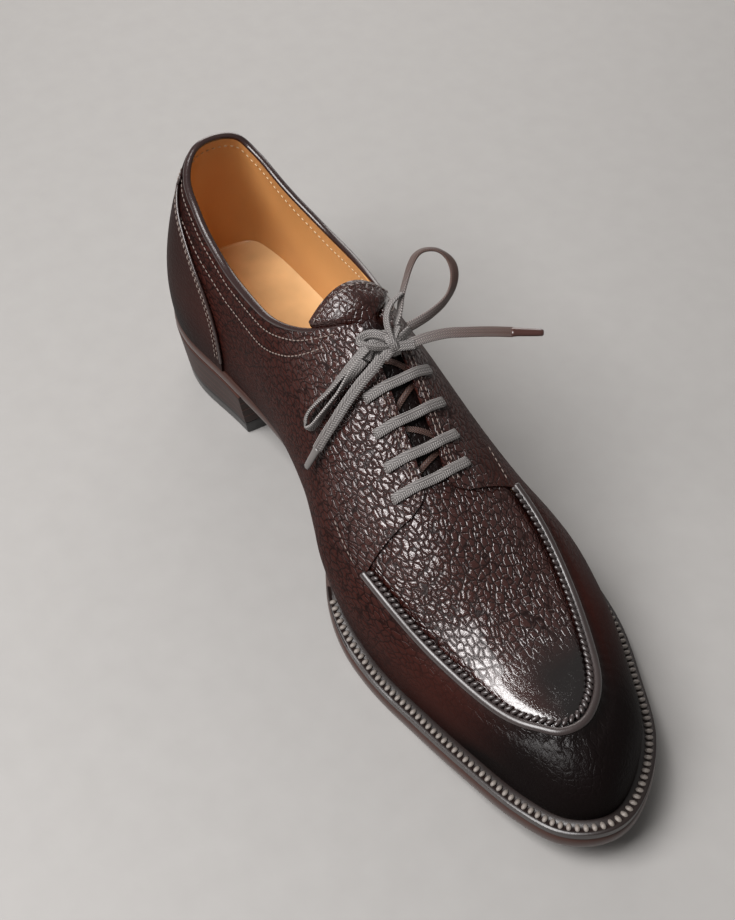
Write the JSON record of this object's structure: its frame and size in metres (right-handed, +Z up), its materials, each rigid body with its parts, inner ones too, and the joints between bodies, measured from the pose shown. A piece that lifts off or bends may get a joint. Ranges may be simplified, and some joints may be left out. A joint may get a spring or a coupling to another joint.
{
  "type": "blucher shoe",
  "caption": "Leather lace-up shoe with open facings over a tongue, a raised apron seam round the toe, a welted leather sole and a stacked heel.",
  "frame": {"origin": "middle of the heel's flat bottom, on the floor", "axes": "+X towards the toe, +Y towards the outer side of the foot, +Z up"},
  "size_m": [0.3005, 0.0939, 0.1166],
  "materials": {
    "grain_calf": "dark burgundy-brown pebbled leather, burnished and glossy at toe and heel",
    "tongue_calf": "pebbled leather, semi-gloss",
    "tan_lining": "smooth honey-tan lining leather, satin",
    "welt_leather": "dark waxed leather, glossy",
    "sole_leather": "stained and waxed sole leather edge",
    "heel_leather": "stacked leather lifts, stained and waxed",
    "heel_rubber": "dark hard rubber, satin",
    "waxed_lace": "flat woven waxed cotton, grey-brown",
    "aglet_film": "dark brown film wound round the lace tips, glossy, with a pale cut end"
  },
  "bodies": {
    "root": {"upper": "grain_calf", "tongue": "tongue_calf", "insole": "tan_lining", "welt": "welt_leather", "outsole": "sole_leather", "heel_stack": "heel_leather", "top_piece": "heel_rubber", "lace_bars": "waxed_lace", "lace_knot": "waxed_lace", "lace_loop_upper": "waxed_lace", "lace_loop_side": "waxed_lace", "lace_end_inner": "waxed_lace", "lace_end_outer": "waxed_lace", "aglet_inner": "aglet_film", "aglet_outer": "aglet_film"}
  },
  "joints": []
}
